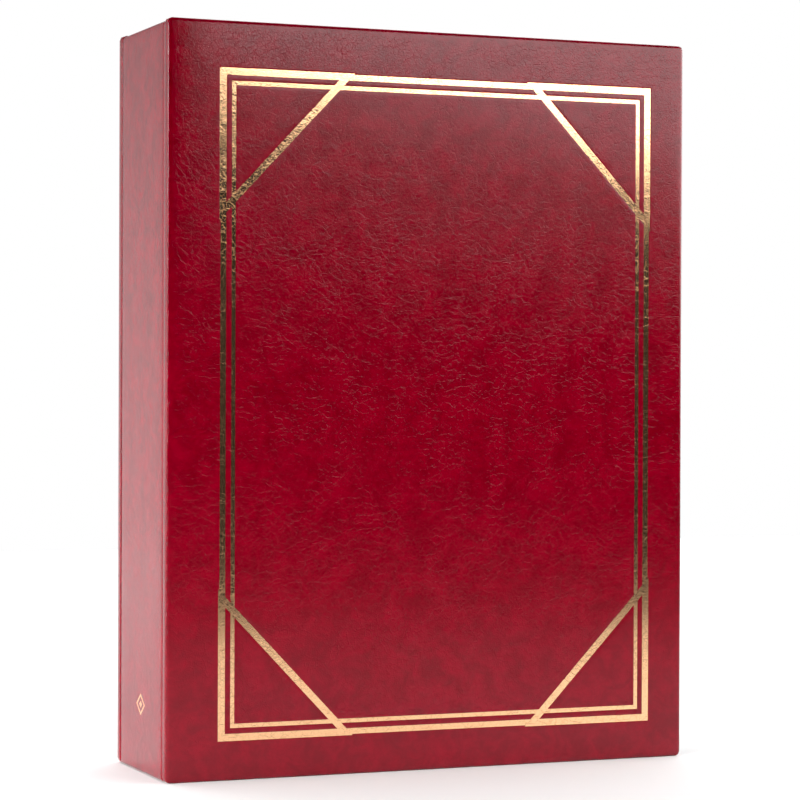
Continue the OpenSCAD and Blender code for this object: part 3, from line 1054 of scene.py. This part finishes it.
# ---- Leaves and pockets ----
# Sixteen folded sheets of black card make the leaves. Each page has nine strips of clear film, welded to the
# card at both ends and along their lower edges, and open at the top so that stamps slide in.

FOLIOS = 16
STRIPS = 9
FILM_LO, FILM_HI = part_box("strips_01")
STRIP_H = (FILM_HI.z - FILM_LO.z) / STRIPS
WELD_SHARE = (0.03, 0.07)
FILM_IOR = 1.45

BLACK_CARD = fibre_finish("black_card", (0.014, 0.013, 0.014), (0.030, 0.028, 0.028), 0.62, 0.3 * MM)


def film_finish():
    """Clear film, faintly frosted along the weld at the foot of each strip."""
    material, shader, w = new_finish("clear_film")
    split = w.nodes.new("ShaderNodeSeparateXYZ")
    place = w.object_place()
    w.put(split.inputs[0], place)
    rise = w.math("FRACT", w.math("DIVIDE", w.math("SUBTRACT", split.outputs["Z"], FILM_LO.z), STRIP_H))
    weld = w.soften(rise, *WELD_SHARE, 1.0, 0.0)
    w.put(shader["Base Color"], w.blend(weld, (0.96, 0.97, 0.98), (0.80, 0.81, 0.82)))
    w.put(shader["Roughness"], w.soften(weld, 0.0, 1.0, 0.06, 0.45))
    w.put(shader["Normal"], w.bump(w.noise(place, scale=30, detail=2).outputs["Fac"], 0.4 * MM))
    shader["IOR"].default_value = FILM_IOR
    shader["Transmission Weight"].default_value = 1.0
    return material


CLEAR_FILM = film_finish()
for i in range(1, FOLIOS + 1):
    show_as(BLACK_CARD, f"folio_{i:02d}")
    show_as(CLEAR_FILM, f"strips_{i:02d}")

# ---- Glassine ----
# A sheet of glassine, thin and smooth and half clear, is tipped in between facing pages to keep the stamps
# from catching on each other. Each goes with the folio that it is glued to.

GLASSINE_T = 0.06 * MM
GLASSINE_EDGE = 5 * MM
GLASSINE_WAVE = 0.12 * MM
GLASSINE_STEP = 9 * MM
GLUED_X = (1.5 * MM, 9.5 * MM)
GLUED_OUT = 0.9 * MM
CARD_CLEAR = 0.15 * MM
FREE_X = 13 * MM

LEAF_BOX_LO, LEAF_BOX_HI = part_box("folio_01")
FOLD_X = LEAF_BOX_LO.x
FOLIO_HALF = (LEAF_BOX_HI.y - LEAF_BOX_LO.y) / 2


def glassine_columns(folio_y, middle_y):
    """(x, y) of the sheet in plan: beside its own card near the fold, then out to the middle of its gap."""
    start, end = FOLD_X + FREE_X, LEAF_BOX_HI.x - GLASSINE_EDGE
    spans = round((end - start) / GLASSINE_STEP)
    columns = []
    for x, out in zip(GLUED_X, (GLUED_OUT, FOLIO_HALF + CARD_CLEAR)):
        beside = folio_y + math.copysign(out, middle_y - folio_y)
        columns.append((FOLD_X + x, middle_y if middle_y == folio_y else beside))
    return columns + [(start + (end - start) * i / spans, middle_y) for i in range(spans + 1)]


def glassine_sheet(name, folio_y, middle_y, side, material):
    """One sheet from the fold to just inside the leaf's edges, with the slow waves that thin paper takes."""
    low_z, high_z = LEAF_BOX_LO.z + GLASSINE_EDGE, LEAF_BOX_HI.z - GLASSINE_EDGE
    columns = glassine_columns(folio_y, middle_y)
    across, up = len(columns) - 1, round((high_z - low_z) / GLASSINE_STEP)
    phase = 23 * middle_y / MM
    bm = bmesh.new()
    front, back = {}, {}
    for i, (x, base_y) in enumerate(columns):
        for j in range(up + 1):
            z = low_z + (high_z - low_z) * j / up
            wave = math.sin(x * 31 + z * 17 + phase) * math.sin(z * 43 + phase / 3) * i / across
            y = base_y + side * GLASSINE_WAVE * wave
            front[i, j] = bm.verts.new((x, y - GLASSINE_T / 2, z))
            back[i, j] = bm.verts.new((x, y + GLASSINE_T / 2, z))
    close_slab(bm, front, back, across, up)
    return new_piece(name, bm, material)


def glassine_finish():
    material, shader, w = new_finish("glassine")
    place = w.object_place()
    pulp = w.noise(place, scale=900, detail=5, roughness=0.65).outputs["Fac"]
    clouds = w.noise(place, scale=60, detail=4).outputs["Fac"]
    w.put(shader["Base Color"], w.blend(clouds, (0.90, 0.90, 0.86), (0.78, 0.78, 0.73)))
    w.put(shader["Alpha"], w.soften(clouds, 0.3, 0.7, 0.42, 0.56))
    w.put(shader["Roughness"], w.soften(pulp, 0.3, 0.7, 0.22, 0.4))
    w.put(shader["Normal"], w.bump(pulp, 0.01 * MM))
    return material


GLASSINE = glassine_finish()
folio_middles = []
for i in range(1, FOLIOS + 1):
    low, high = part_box(f"folio_{i:02d}")
    folio_middles.append((low.y + high.y) / 2)
FOLIO_PITCH = folio_middles[1] - folio_middles[0]

for i, middle in enumerate(folio_middles, start=1):
    body = f"folio_{i:02d}"
    sheets = [(f"glassine_{i:02d}", middle, 1)]
    if i < FOLIOS // 2 + 1:
        sheets.append((f"glassine_after_{i:02d}", middle + FOLIO_PITCH / 2, 1))
    elif i > FOLIOS // 2 + 1:
        sheets.append((f"glassine_before_{i:02d}", middle - FOLIO_PITCH / 2, -1))
    for name, place_y, side in sheets:
        sheet = glassine_sheet(name, middle, place_y, side, GLASSINE)
        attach(sheet, body)
